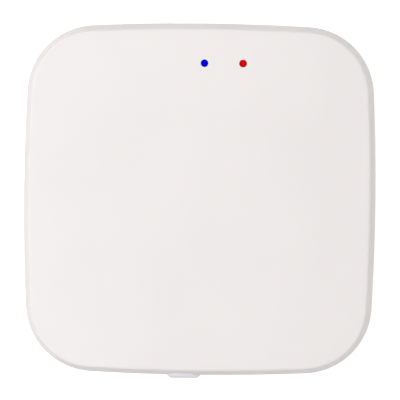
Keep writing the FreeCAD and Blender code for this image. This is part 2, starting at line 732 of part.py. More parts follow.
def module_can(direction):
    """The shielding can: thin sheet, open below, with small holes in its top."""
    half = CAN_WIDTH / 2
    top = MODULE_TOP_Z + CAN_HEIGHT
    start, end = CAN_START, CAN_START + CAN_LENGTH
    outer = module_block(direction, (start, end), (-half, half), MODULE_TOP_Z, top)
    outer = outer.makeFillet(0.7, upright_edges(outer))
    outer = outer.makeFillet(0.35, edges_at(outer, top))
    along = (start + CAN_SHEET, end - CAN_SHEET)
    across = (CAN_SHEET - half, half - CAN_SHEET)
    inner = module_block(direction, along, across, MODULE_TOP_Z - 1, top - CAN_SHEET)
    inner = inner.makeFillet(0.5, upright_edges(inner))
    places = [
        (module_x(direction, start + 2.5 + 2.75 * column), MODULE_Y + 4.6 * side)
        for column in range(5)
        for side in (-1, 1)
    ]
    return outer.cut([inner, *posts_at(places, 0.45, top - 1, top + 1)])


def chip(direction, along, across, length, width, height):
    """A square chip package with softened top edges."""
    x = module_x(direction, along)
    body = centred_block(x, MODULE_Y + across, length, width, MODULE_TOP_Z, MODULE_TOP_Z + height)
    return body.makeChamfer(0.08, edges_at(body, MODULE_TOP_Z + height))


def crystal(direction, along, across):
    """A small metal-lidded crystal."""
    x, y = module_x(direction, along), MODULE_Y + across
    base = centred_block(x, y, 3.2, 2.5, MODULE_TOP_Z, MODULE_TOP_Z + 0.4)
    lid = centred_block(x, y, 2.8, 2.1, MODULE_TOP_Z + 0.4, MODULE_TOP_Z + 0.75)
    lid = lid.makeFillet(0.3, upright_edges(lid))
    return fuse_all([base, lid])


def strip(points, width, low, high):
    """A flat track through points, with square ends and corners."""
    half = width / 2
    runs = []
    for (x0, y0), (x1, y1) in zip(points, points[1:]):
        along_x = (min(x0, x1) - half, max(x0, x1) + half)
        along_y = (min(y0, y1) - half, max(y0, y1) + half)
        runs.append(block(along_x, along_y, (low, high)))
    return fuse_all(runs)


ANTENNA_WIDTH = 0.5
ANTENNA_THICKNESS = 0.06
ANTENNA_FOLDS = 6


def module_antenna(direction):
    """A folded copper track at a module's outer end."""
    near, far = 18.6, 22.8
    pitch = 2.1
    start = -6.3
    points = [(17.4, start), (near, start)]
    for fold in range(ANTENNA_FOLDS):
        across = start + fold * pitch
        end = far if fold % 2 == 0 else near
        points += [(end, across), (end, across + pitch)]
    points.append((far if points[-1][0] == near else near, points[-1][1]))
    placed = [(module_x(direction, along), MODULE_Y + across) for along, across in points]
    return strip(placed, ANTENNA_WIDTH, MODULE_TOP_Z, MODULE_TOP_Z + ANTENNA_THICKNESS)


# ---- indicator lamps ------------------------------------------------------------
def led_base(x):
    """A lamp's white carrier, with its two metal ends cut away below the lens."""
    return centred_block(x, LIGHT_Y, 2.0, 1.25, BOARD_TOP_Z, BOARD_TOP_Z + 0.35)


def led_lens(x):
    """A lamp's clear moulded lens."""
    lens = centred_block(x, LIGHT_Y, 1.3, 1.25, BOARD_TOP_Z + 0.35, LED_TOP_Z)
    return lens.makeChamfer(0.15, edges_at(lens, LED_TOP_Z))


# ---- power supply ---------------------------------------------------------------
def gull_wing(x, y, heading, reach, height, width, thickness=0.25):
    """A bent lead: out of a package at height, down, then flat on the board.

    heading is the quarter turn that the lead points to, starting from +X.
    """
    knee, ankle = reach * 0.3, reach * 0.5
    upper = [(0, height), (knee, height), (ankle, thickness), (reach, thickness)]
    lower = [(reach, 0), (ankle - thickness, 0)]
    lower += [(knee - thickness * 0.6, height - thickness), (0, height - thickness)]
    corners = [Vector(run, -width / 2, BOARD_TOP_Z + z) for run, z in upper + lower]
    lead = Part.Face(Part.makePolygon([*corners, corners[0]])).extrude(Vector(0, width, 0))
    lead.rotate(Vector(0, 0, 0), UP, 90 * heading)
    lead.translate(Vector(x, y, 0))
    return lead


REGULATOR_AT = (-6.0, 12.5)


def regulator_body():
    """The voltage regulator's moulded package."""
    x, y = REGULATOR_AT
    body = centred_block(x, y, 6.5, 3.5, BOARD_TOP_Z + 0.05, BOARD_TOP_Z + 1.65)
    return body.makeChamfer(0.2, edges_at(body, BOARD_TOP_Z + 1.65))


def regulator_leads():
    """Three leads on one side of the regulator and its wide tab on the other."""
    x, y = REGULATOR_AT
    leads = [gull_wing(x + 2.3 * number, y - 1.75, 3, 1.75, 0.95, 0.7) for number in (-1, 0, 1)]
    return group([*leads, gull_wing(x, y + 1.75, 1, 1.75, 0.95, 3.0)])


CAPACITOR_AT = (-17.5, 14.0)
CAPACITOR_RADIUS = 3.15
CAPACITOR_TOP_Z = BOARD_TOP_Z + 5.8


def input_capacitor_can():
    """The aluminium can, with the groove where it is crimped."""
    x, y = CAPACITOR_AT
    low = BOARD_TOP_Z + 0.45
    can = post(x, y, CAPACITOR_RADIUS, low, CAPACITOR_TOP_Z)
    can = can.makeFillet(0.4, edges_at(can, CAPACITOR_TOP_Z))
    groove = Part.makeTorus(CAPACITOR_RADIUS + 0.15, 0.4, Vector(x, y, BOARD_TOP_Z + 1.6), UP)
    return can.cut(groove)


def input_capacitor_terminals():
    """Two flat tabs under the can's plastic base."""
    x, y = CAPACITOR_AT
    low, high = BOARD_TOP_Z, BOARD_TOP_Z + 0.15
    return group([centred_block(x + side * 2.5, y, 2.8, 0.8, low, high) for side in (-1, 1)])


def input_capacitor_base():
    """The square plastic base with two cut corners."""
    x, y = CAPACITOR_AT
    half, cut = 3.3, 1.2
    points = [(-half, -half), (half - cut, -half), (half, cut - half)]
    points += [(half, half - cut), (half - cut, half), (-half, half)]
    corners = [Vector(x + a, y + b, BOARD_TOP_Z) for a, b in points]
    base = Part.Face(Part.makePolygon([*corners, corners[0]])).extrude(UP * 1.1)
    return base.cut([input_capacitor_can(), input_capacitor_terminals()])


TANTALUM_AT = (3.5, 12.5)


def output_capacitor():
    """The moulded body of the regulator's output capacitor."""
    x, y = TANTALUM_AT
    body = centred_block(x, y, 3.5, 2.8, BOARD_TOP_Z + 0.1, BOARD_TOP_Z + 2.0)
    body = body.makeChamfer(0.15, edges_at(body, BOARD_TOP_Z + 2.0))
    return body.cut(output_capacitor_terminals())


def output_capacitor_terminals():
    """Two straps that fold under the ends of the output capacitor."""
    x, y = TANTALUM_AT
    straps = []
    for side in (-1, 1):
        outer = x + side * 1.85
        upright = centred_block(outer - side * 0.05, y, 0.1, 2.2, BOARD_TOP_Z, BOARD_TOP_Z + 0.9)
        foot = centred_block(outer - side * 0.4, y, 0.8, 2.2, BOARD_TOP_Z, BOARD_TOP_Z + 0.1)
        straps.append(upright.fuse(foot).removeSplitter())
    return group(straps)


DIODE_AT = (-12.5, 19.6)


def surge_diode_body():
    """The small package that protects the power input."""
    body = centred_block(*DIODE_AT, 2.9, 1.3, BOARD_TOP_Z + 0.05, BOARD_TOP_Z + 1.05)
    return body.makeChamfer(0.12, edges_at(body, BOARD_TOP_Z + 1.05))


def surge_diode_leads():
    """Its three leads."""
    x, y = DIODE_AT
    pair = [gull_wing(x + side * 0.95, y - 0.65, 3, 0.75, 0.6, 0.4, 0.12) for side in (-1, 1)]
    return group([*pair, gull_wing(x, y + 0.65, 1, 0.75, 0.6, 0.4, 0.12)])


def end_capped(x, y, quarter, length, width, height, cap):
    """A two-ended surface part: (body, [two end caps]), lying along X or Y."""
    low, high = BOARD_TOP_Z, BOARD_TOP_Z + height
    body = centred_block(0, 0, length - 2 * cap, width, low, high)
    ends = [centred_block(side * (length - cap) / 2, 0, cap, width, low, high) for side in (-1, 1)]
    placed = []
    for shape in (body, *ends):
        copy = turned(shape, quarter)
        copy.translate(Vector(x, y, 0))
        placed.append(copy)
    return placed[0], placed[1:]


FUSE = (-6.3, 19.6, 0, 3.2, 1.6, 0.7, 0.45)
RESISTOR_SIZE = (1.6, 0.8, 0.45, 0.3)
CERAMIC_SIZE = (2.0, 1.25, 0.9, 0.4)
RESISTORS = (
    (0.7, 20.2, 0), (7.2, 20.2, 0), (-15.5, 21.6, 1), (13.0, 20.0, 1), (15.0, 20.0, 1),
    (-8.8, -19.5, 1), (3.6, -19.5, 1), (5.4, -19.5, 1), (-24.0, 9.0, 1), (24.0, 9.0, 1),
)
CERAMICS = (
    (-11.6, 12.5, 1), (-1.0, 9.0, 1), (7.4, 12.5, 1), (10.2, 12.5, 1), (-20.0, 5.0, 0),
    (-15.0, 5.0, 0), (15.0, 5.0, 0), (20.0, 5.0, 0), (12.5, -19.0, 0), (-16.0, -19.0, 0),
)


def small_parts(places, size):
    """All the bodies, then all the end caps, of one kind of small part."""
    made = [end_capped(x, y, quarter, *size) for x, y, quarter in places]
    bodies = group([body for body, _ in made])
    ends = group([end for _, pair in made for end in pair])
    return bodies, ends


# ---- main board -----------------------------------------------------------------
DEBUG_PADS = tuple((15.0 + 2.2 * number, 15.0) for number in range(4))


def through_holes():
    """(x, y, width, depth) of every flat pin that passes through the board."""
    pins = []
    for side in (-1, 1):
        x = SOCKET_X + side * (SOCKET_WIDTH / 2 - SOCKET_SHEET / 2)
        pins += [(x, y, SOCKET_SHEET, 1.0) for y in SOCKET_TAB_ROWS]
        pins.append((BUTTON_X + side * PIN_SPREAD, PIN_Y, PIN_WIDTH, PIN_SHEET))
        leg_x = BUTTON_X + side * (SWITCH_SIZE + SWITCH_PLATE) / 2
        pins.append((leg_x, LEG_Y, SWITCH_PLATE, LEG_WIDTH))
    return pins


def main_board():
    """The glass-fibre board, cut for its screws and pins."""
    plate = slab(BOARD_INSET, BOARD_BOTTOM_Z, BOARD_TOP_Z)
    low, high = BOARD_BOTTOM_Z - 1, BOARD_TOP_Z + 1
    holes = [post(x, y, BOARD_HOLE_RADIUS, low, high) for x, y in four_corners(SCREW_AT)]
    slots = [centred_block(x, y, w + 0.2, d + 0.2, low, high) for x, y, w, d in through_holes()]
    return plate.cut([*holes, *slots])


def pin_solder():
    """A cone of solder round each pin, under the board."""
    joints = []
    for x, y, width, depth in through_holes():
        reach = max(width, depth) / 2
        cone = Part.makeCone(0.3, reach + 0.35, 0.6, Vector(x, y, BOARD_BOTTOM_Z - 0.6), UP)
        pin = centred_block(x, y, width, depth, BOARD_BOTTOM_Z - 1, BOARD_BOTTOM_Z + 1)
        joints.append(cone.cut(pin))
    return group(joints)


def debug_pads():
    """Four gold test points."""
    return group([post(x, y, 0.75, BOARD_TOP_Z, BOARD_TOP_Z + 0.05) for x, y in DEBUG_PADS])


# ---- everything -----------------------------------------------------------------
def all_parts():
    """Every node's name and shape."""
    parts = {
        "top_cover": top_cover(),
        "bottom_case": bottom_case(),
        "reset_button": reset_button(),
        "blue_light_pipe": light_pipe(BLUE_X),
        "red_light_pipe": light_pipe(RED_X),
        "rubber_feet": rubber_feet(),
        "rating_label": rating_label(),
        "board_screws": board_screws(),
        "main_board": main_board(),
        "debug_pads": debug_pads(),
        "pin_solder": pin_solder(),
        "usb_shell": usb_shell(),
        "usb_insulator": usb_insulator(),
        "usb_contacts": usb_contacts(),
        "switch_housing": switch_housing(),
        "switch_bracket": switch_bracket(),
        "switch_plunger": switch_plunger(),
        "switch_dome": switch_dome(),
        "switch_terminals": switch_terminals(),
        "regulator_body": regulator_body(),
        "regulator_leads": regulator_leads(),
        "input_capacitor_can": input_capacitor_can(),
        "input_capacitor_base": input_capacitor_base(),
        "input_capacitor_terminals": input_capacitor_terminals(),
        "output_capacitor": output_capacitor(),
        "output_capacitor_terminals": output_capacitor_terminals(),
        "surge_diode_body": surge_diode_body(),
        "surge_diode_leads": surge_diode_leads(),
    }
    for name, x in (("blue", BLUE_X), ("red", RED_X)):
        parts[f"{name}_led_base"] = led_base(x)
        parts[f"{name}_led_lens"] = led_lens(x)
    for name, direction in (("wlan", -1), ("mesh", 1)):
        parts[f"{name}_module_board"] = module_board(direction)
        parts[f"{name}_module_solder"] = module_solder(direction)
        parts[f"{name}_shield_can"] = module_can(direction)
        parts[f"{name}_radio_chip"] = chip(direction, 10.5, 0.0, 5.0, 5.0, 0.85)
        parts[f"{name}_crystal"] = crystal(direction, 4.2, 3.4)
        parts[f"{name}_antenna"] = module_antenna(direction)
    parts["wlan_flash_chip"] = chip(-1, 4.4, -2.6, 5.0, 4.0, 0.8)
    for name, places, size in (
        ("resistor", RESISTORS, RESISTOR_SIZE),
        ("ceramic_capacitor", CERAMICS, CERAMIC_SIZE),
    ):
        bodies, ends = small_parts(places, size)
        parts[f"{name}_bodies"] = bodies
        parts[f"{name}_ends"] = ends
    fuse_body, fuse_ends = end_capped(*FUSE)
    parts["resettable_fuse"] = fuse_body
    parts["fuse_ends"] = group(fuse_ends)
    return parts


def main():
    """Writes one STEP file per node."""
    os.makedirs("parts", exist_ok=True)
    for name, shape in all_parts().items():
        if not shape.isValid():
            raise RuntimeError(f"{name} is not a valid shape")
        shape.exportStep(f"parts/{name}.step")
        print(f"{name}: {len(shape.Solids)} solids, {shape.Volume:.2f} mm3")


main()
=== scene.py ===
"""Looks, light and camera for the smart home hub.

Everything is in metres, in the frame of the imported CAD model: the hub lies on the
table at z = 0, its reset button faces -Y and its power socket faces +Y.
"""

import json
import math

import bmesh
import bpy
from mathutils import Matrix, Vector


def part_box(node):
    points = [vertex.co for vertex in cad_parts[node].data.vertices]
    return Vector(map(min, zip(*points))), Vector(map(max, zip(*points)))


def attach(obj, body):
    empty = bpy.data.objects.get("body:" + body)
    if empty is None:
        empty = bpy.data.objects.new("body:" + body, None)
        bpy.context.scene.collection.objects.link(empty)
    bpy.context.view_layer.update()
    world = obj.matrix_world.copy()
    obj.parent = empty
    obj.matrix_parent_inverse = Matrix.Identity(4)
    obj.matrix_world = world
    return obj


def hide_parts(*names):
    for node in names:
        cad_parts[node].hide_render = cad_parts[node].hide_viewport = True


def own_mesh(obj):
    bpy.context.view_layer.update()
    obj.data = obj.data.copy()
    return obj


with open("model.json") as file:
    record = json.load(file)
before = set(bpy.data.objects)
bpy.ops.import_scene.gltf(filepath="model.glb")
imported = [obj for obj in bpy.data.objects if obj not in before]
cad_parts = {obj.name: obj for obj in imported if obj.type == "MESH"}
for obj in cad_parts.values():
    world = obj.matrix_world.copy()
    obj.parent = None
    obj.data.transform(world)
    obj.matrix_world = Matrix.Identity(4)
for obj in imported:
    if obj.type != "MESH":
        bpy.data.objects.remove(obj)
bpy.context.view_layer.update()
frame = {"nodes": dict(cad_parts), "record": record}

MM = 0.001


def in_mm(corners):
    """A box's two corners, from metres to millimetres."""
    return [corner / MM for corner in corners]


# ---- node helpers ---------------------------------------------------------------
class Paint:
    """A material under construction: its node tree and its one shader."""

    def __init__(self, name, roughness, metallic=0.0):
        self.material = bpy.data.materials.new(name)
        self.material.use_nodes = True
        self.tree = self.material.node_tree
        self.shader = self.tree.nodes["Principled BSDF"]
        self.shader.inputs["Roughness"].default_value = roughness
        self.shader.inputs["Metallic"].default_value = metallic

    def node(self, kind, **settings):
        """A new node with its properties set."""
        made = self.tree.nodes.new(kind)
        for key, value in settings.items():
            setattr(made, key, value)
        return made

    def link(self, source, target):
        """Joins an output to an input."""
        self.tree.links.new(source, target)

    def place(self, stretch=(1, 1, 1)):
        """Coordinates in millimetres on the piece itself, stretched along each axis."""
        coordinate = self.node("ShaderNodeTexCoord")
        scaled = self.node("ShaderNodeMapping")
        scaled.inputs["Scale"].default_value = [s / MM for s in stretch]
        self.link(coordinate.outputs["Object"], scaled.inputs["Vector"])
        return scaled.outputs["Vector"]

    def noise(self, per_mm, detail=2.0, stretch=(1, 1, 1)):
        """Soft noise whose features are about 1 / per_mm millimetres wide."""
        made = self.node("ShaderNodeTexNoise")
        made.inputs["Scale"].default_value = per_mm
        made.inputs["Detail"].default_value = detail
        self.link(self.place(stretch), made.inputs["Vector"])
        return made.outputs["Fac"]

    def cells(self, per_mm):
        """Distance to scattered points about 1 / per_mm millimetres apart."""
        made = self.node("ShaderNodeTexVoronoi", feature="F1")
        made.inputs["Scale"].default_value = per_mm
        self.link(self.place(), made.inputs["Vector"])
        return made.outputs["Distance"]

    def distance(self, centre_mm):
        """Distance in millimetres from an upright line through centre_mm."""
        made = self.node("ShaderNodeVectorMath", operation="DISTANCE")
        self.link(self.place((1, 1, 0)), made.inputs[0])
        made.inputs[1].default_value = (centre_mm[0], centre_mm[1], 0)
        return made.outputs["Value"]

    def spread(self, value, low, high, start=0.3, end=0.7):
        """Maps value from start..end on to low..high."""
        made = self.node("ShaderNodeMapRange")
        made.inputs["From Min"].default_value = start
        made.inputs["From Max"].default_value = end
        made.inputs["To Min"].default_value = low
        made.inputs["To Max"].default_value = high
        self.link(value, made.inputs["Value"])
        return made.outputs["Result"]

    def blend(self, share, first, second):
        """A colour between two others; each is an RGB tuple or a socket."""
        made = self.node("ShaderNodeMix", data_type="RGBA")
        self.link(share, made.inputs["Factor"])
        for name, colour in (("A", first), ("B", second)):
            socket = next(s for s in made.inputs if s.name == name and s.type == "RGBA")
            if isinstance(colour, tuple):
                socket.default_value = (*colour, 1.0)
            else:
                self.link(colour, socket)
        return next(s for s in made.outputs if s.type == "RGBA")

    def colour(self, source):
        """Gives the surface its colour."""
        self.link(source, self.shader.inputs["Base Color"])

    def roughness(self, source):
        """Gives the surface a roughness that varies."""
        self.link(source, self.shader.inputs["Roughness"])

    def bump(self, height, depth_mm):
        """Presses height into the surface, depth_mm deep."""
        made = self.node("ShaderNodeBump")
        made.inputs["Strength"].default_value = 1.0
        made.inputs["Distance"].default_value = depth_mm * MM
        self.link(height, made.inputs["Height"])
        self.link(made.outputs["Normal"], self.shader.inputs["Normal"])


def shaded(colour, factor):
    """A colour made lighter or darker."""
    return tuple(min(1.0, channel * factor) for channel in colour)


# ---- materials ------------------------------------------------------------------
COLOUR_DRIFT = 0.012       # how far a moulding's colour wanders each way, as a share
GLOSS_DRIFT = 0.05         # how far its roughness wanders each way


def moulded_plastic(name, colour, roughness=0.42, grain_mm=0.16, depth_mm=0.012):
    """Plastic with the even spark-eroded grain of its mould."""
    paint = Paint(name, roughness)
    slow = paint.spread(paint.noise(0.06, 1.0), 0, 1)
    paint.colour(paint.blend(slow, shaded(colour, 1 - COLOUR_DRIFT), shaded(colour, 1 + COLOUR_DRIFT)))
    grain = paint.noise(1 / grain_mm, 3.0)
    paint.roughness(paint.spread(grain, roughness - GLOSS_DRIFT, roughness + GLOSS_DRIFT))
    paint.bump(grain, depth_mm)
    return paint.material


PIPE_TIP = 0.62            # radius of a light pipe's tip, in millimetres
PIPE_CORE = 0.12           # share of it over which the light is brightest
PIPE_RIM = 0.2             # brightness at its rim
PIPE_GLOW = 0.75           # brightness at its middle


def lit_acrylic(name, colour, node):
    """A light pipe lit from below: brightest on its axis, darker towards its rim."""
    low, high = in_mm(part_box(node))
    paint = Paint(name, 0.5)
    paint.shader.inputs["Specular IOR Level"].default_value = 0.0
    soft = paint.noise(1.5, 1.0)
    paint.colour(paint.blend(paint.spread(soft, 0, 1), shaded(colour, 0.22), shaded(colour, 0.28)))
    from_axis = paint.distance((low + high) / 2)
    fall_off = paint.spread(from_axis, 0, 1, PIPE_CORE * PIPE_TIP, PIPE_TIP)
    glow = paint.blend(fall_off, colour, shaded(colour, PIPE_RIM))
    paint.link(glow, paint.shader.inputs["Emission Color"])
    paint.shader.inputs["Emission Strength"].default_value = PIPE_GLOW
    return paint.material


def rubber(name, colour):
    """Matt silicone with faint dust."""
    paint = Paint(name, 0.75)
    dust = paint.noise(2.5, 5.0)
    paint.colour(paint.blend(paint.spread(dust, 0, 1), colour, shaded(colour, 1.35)))
    paint.bump(paint.noise(9.0, 3.0), 0.004)
    return paint.material


def metal(name, colour, roughness=0.3, brushed=(1, 1, 1), depth_mm=0.001):
    """Plated metal. Unequal numbers in brushed draw its scratches out along one axis."""
    paint = Paint(name, roughness, metallic=1.0)
    streaks = paint.noise(4.0, 6.0, brushed)
    paint.colour(paint.blend(paint.spread(streaks, 0, 1), shaded(colour, 0.86), shaded(colour, 1.06)))
    paint.roughness(paint.spread(streaks, roughness * 0.75, roughness * 1.35))
    paint.bump(streaks, depth_mm)
    return paint.material


def solder_mask(name, mask, bare):
    """A board: coloured lacquer on both faces and bare glass fibre on its cut edges."""
    paint = Paint(name, 0.35)
    weave = paint.node("ShaderNodeTexChecker")
    weave.inputs["Scale"].default_value = 4.0
    paint.link(paint.place(), weave.inputs["Vector"])
    cloud = paint.noise(0.35, 2.0)
    lacquer = paint.blend(paint.spread(cloud, 0, 1), shaded(mask, 0.9), shaded(mask, 1.12))
    lacquer = paint.blend(paint.spread(weave.outputs["Fac"], 0, 0.06, 0, 1), lacquer, bare)
    fibres = paint.noise(6.0, 3.0, (1, 1, 8))
    edge = paint.blend(fibres, shaded(bare, 0.75), bare)
    facing = paint.node("ShaderNodeTexCoord")
    split = paint.node("ShaderNodeSeparateXYZ")
    paint.link(facing.outputs["Normal"], split.inputs["Vector"])
    upright = paint.node("ShaderNodeMath", operation="ABSOLUTE")
    paint.link(split.outputs["Z"], upright.inputs[0])
    flat = paint.spread(upright.outputs["Value"], 0, 1, 0.4, 0.6)
    paint.colour(paint.blend(flat, edge, lacquer))
    paint.bump(cloud, 0.004)
    return paint.material


def chip_epoxy(name, colour):
    """Black moulding compound with its glittering filler."""
    paint = Paint(name, 0.55)
    specks = paint.cells(14.0)
    paint.colour(paint.blend(paint.spread(specks, 0, 1, 0.05, 0.2), shaded(colour, 2.2), colour))
    paint.bump(paint.noise(18.0, 3.0), 0.002)
    return paint.material


PRINT_BLUR = 0.02          # half the width over which a printed edge fades, in millimetres


def banded_epoxy(name, colour, band, band_x_mm):
    """A moulded capacitor with a painted stripe at its positive end."""
    paint = Paint(name, 0.5)
    split = paint.node("ShaderNodeSeparateXYZ")
    paint.link(paint.place(), split.inputs["Vector"])
    stripe = paint.spread(split.outputs["X"], 0, 1, band_x_mm - PRINT_BLUR, band_x_mm + PRINT_BLUR)
    mottle = paint.noise(5.0, 3.0)
    body = paint.blend(paint.spread(mottle, 0, 1), shaded(colour, 0.92), shaded(colour, 1.05))
    paint.colour(paint.blend(stripe, body, band))
    paint.bump(mottle, 0.003)
    return paint.material


def ceramic(name, colour):
    """Fired ceramic, slightly speckled."""
    paint = Paint(name, 0.4)
    speckle = paint.noise(9.0, 5.0)
    paint.colour(paint.blend(paint.spread(speckle, 0, 1), shaded(colour, 0.8), shaded(colour, 1.15)))
    paint.bump(speckle, 0.002)
    return paint.material


BORDER_INSET = 1.2         # from the label's edge to its printed border, in millimetres
BORDER_HALF = 0.1          # half the border's width, in millimetres


def sticker(name, colour, ink, half_size_mm):
    """A blank label with a thin printed border."""
    paint = Paint(name, 0.5)
    split = paint.node("ShaderNodeSeparateXYZ")
    paint.link(paint.place(), split.inputs["Vector"])
    reach = []
    for axis, half in zip("XY", half_size_mm):
        size = paint.node("ShaderNodeMath", operation="ABSOLUTE")
        paint.link(split.outputs[axis], size.inputs[0])
        from_edge = paint.node("ShaderNodeMath", operation="SUBTRACT")
        from_edge.inputs[0].default_value = half - BORDER_INSET
        paint.link(size.outputs["Value"], from_edge.inputs[1])
        reach.append(from_edge.outputs["Value"])
    nearest = paint.node("ShaderNodeMath", operation="MINIMUM")
    paint.link(reach[0], nearest.inputs[0])
    paint.link(reach[1], nearest.inputs[1])
    distance = paint.node("ShaderNodeMath", operation="ABSOLUTE")
    paint.link(nearest.outputs["Value"], distance.inputs[0])
    line = paint.spread(distance.outputs["Value"], 1, 0, BORDER_HALF - PRINT_BLUR, BORDER_HALF + PRINT_BLUR)
    fibres = paint.noise(3.0, 5.0)
    paper = paint.blend(paint.spread(fibres, 0, 1), shaded(colour, 0.97), colour)
    paint.colour(paint.blend(line, paper, ink))
    paint.bump(fibres, 0.002)
    return paint.material


def masked_copper():
    """Lacquer over a copper track: lighter than over the bare board."""
    paint = Paint("masked_copper", 0.3)
    cloud = paint.noise(1.2, 2.0)
    paint.colour(paint.blend(paint.spread(cloud, 0, 1), (0.03, 0.20, 0.07), (0.045, 0.26, 0.10)))
    paint.bump(cloud, 0.003)
    return paint.material


def printing_ink():
    """Screen-printed white ink, a little thin in places."""
    paint = Paint("printing_ink", 0.6)
    thin = paint.noise(5.0, 4.0)
    paint.colour(paint.blend(paint.spread(thin, 0, 1), (0.55, 0.58, 0.54), (0.78, 0.78, 0.75)))
    paint.bump(thin, 0.003)
    return paint.material


WHITE = (0.795, 0.758, 0.736)
BUTTON_WHITE = (0.81, 0.79, 0.82)
BAND_SHARE = 0.2           # of the output capacitor's length, for the stripe at its end


def all_materials():
    """One material for each of the record's slots."""
    tantalum_low, tantalum_high = in_mm(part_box("output_capacitor"))
    band_x = tantalum_low.x + BAND_SHARE * (tantalum_high.x - tantalum_low.x)
    label_low, label_high = in_mm(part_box("rating_label"))
    label_half = (label_high - label_low).xy / 2
    return {
        "case_white": moulded_plastic("case_white", WHITE),
        "button_white": moulded_plastic("button_white", BUTTON_WHITE, 0.36, 0.12, 0.004),
        "blue_light": lit_acrylic("blue_light", (0.0, 0.0, 1.0), "blue_light_pipe"),
        "red_light": lit_acrylic("red_light", (0.95, 0.0, 0.006), "red_light_pipe"),
        "foot_rubber": rubber("foot_rubber", (0.10, 0.10, 0.105)),
        "label_paper": sticker("label_paper", (0.62, 0.62, 0.62), (0.25, 0.25, 0.26), label_half),
        "screw_steel": metal("screw_steel", (0.60, 0.60, 0.57), 0.32, (1, 1, 0.3)),
        "board_green": solder_mask("board_green", (0.012, 0.11, 0.045), (0.42, 0.36, 0.20)),
        "module_board": solder_mask("module_board", (0.008, 0.012, 0.020), (0.25, 0.23, 0.16)),
        "gold": metal("gold", (0.86, 0.62, 0.22), 0.25),
        "solder": metal("solder", (0.72, 0.72, 0.70), 0.28, depth_mm=0.01),
        "tin": metal("tin", (0.74, 0.74, 0.72), 0.34),
        "socket_steel": metal("socket_steel", (0.66, 0.66, 0.64), 0.28, (1, 8, 1)),
        "can_steel": metal("can_steel", (0.70, 0.69, 0.64), 0.34, (0.3, 4, 1)),
        "spring_steel": metal("spring_steel", (0.64, 0.64, 0.61), 0.16),
        "capacitor_aluminium": metal("capacitor_aluminium", (0.78, 0.78, 0.78), 0.3, (1, 1, 10)),
        "copper": metal("copper", (0.72, 0.34, 0.16), 0.4),
        "black_plastic": moulded_plastic("black_plastic", (0.018, 0.018, 0.019), 0.45, 0.1, 0.002),
        "plunger_plastic": moulded_plastic("plunger_plastic", (0.035, 0.035, 0.038), 0.4, 0.1, 0.001),
        "chip_epoxy": chip_epoxy("chip_epoxy", (0.022, 0.022, 0.023)),
        "tantalum_yellow": banded_epoxy("tantalum_yellow", (0.70, 0.36, 0.05), (0.28, 0.10, 0.02), band_x),
        "led_white": moulded_plastic("led_white", (0.75, 0.75, 0.72), 0.5, 0.1, 0.001),
        "resistor_black": ceramic("resistor_black", (0.03, 0.03, 0.032)),
        "capacitor_ceramic": ceramic("capacitor_ceramic", (0.36, 0.22, 0.12)),
        "fuse_green": ceramic("fuse_green", (0.03, 0.20, 0.10)),
    }


def paint_cad_nodes(materials):
    """Gives every CAD node the material of its slot."""
    for row in frame["record"]["subparts"]:
        piece = frame["nodes"][row["node"]]
        for slot in piece.material_slots:
            slot.material = materials[row["material_slot"]]


# ---- mesh pieces ----------------------------------------------------------------
# Lengths are in millimetres, apart from the snap disc's, which are in metres.
MICRONS = 1000             # in a millimetre


def node_parts(node):
    """(low, high) corners of each separate solid in a CAD node, whose points meet to the micron."""
    mesh = frame["nodes"][node].data
    keys = [tuple(round(c / MM * MICRONS) for c in vertex.co) for vertex in mesh.vertices]
    leader = {key: key for key in keys}

    def lead(key):
        """The point that stands for this one's solid."""
        while leader[key] != key:
            leader[key] = leader[leader[key]]
            key = leader[key]
        return key

    for polygon in mesh.polygons:
        first = lead(keys[polygon.vertices[0]])
        for index in polygon.vertices[1:]:
            leader[lead(keys[index])] = first
    corners = {}
    for key in keys:
        corners.setdefault(lead(key), []).append(key)
    boxes = []
    for points in corners.values():
        low = Vector(min(p[axis] for p in points) for axis in range(3)) / MICRONS
        high = Vector(max(p[axis] for p in points) for axis in range(3)) / MICRONS
        boxes.append((low, high))
    return sorted(boxes, key=lambda box: tuple(box[0]))


def new_object(name, mesh, material):
    """Turns a finished bmesh into an object in the scene."""
    data = bpy.data.meshes.new(name)
    mesh.to_mesh(data)
    mesh.free()
    data.materials.append(material)
    made = bpy.data.objects.new(name, data)
    bpy.context.scene.collection.objects.link(made)
    return made


SLOPE_CURVE = ((1, 0), (0.55, 0.12), (0.25, 0.4))    # shares of a solder slope's reach and height
SLOPE_TOP = 0.06           # thickness at its upper end
SLOPE_SUNK = 0.04          # how far it is let into the face that it leans on


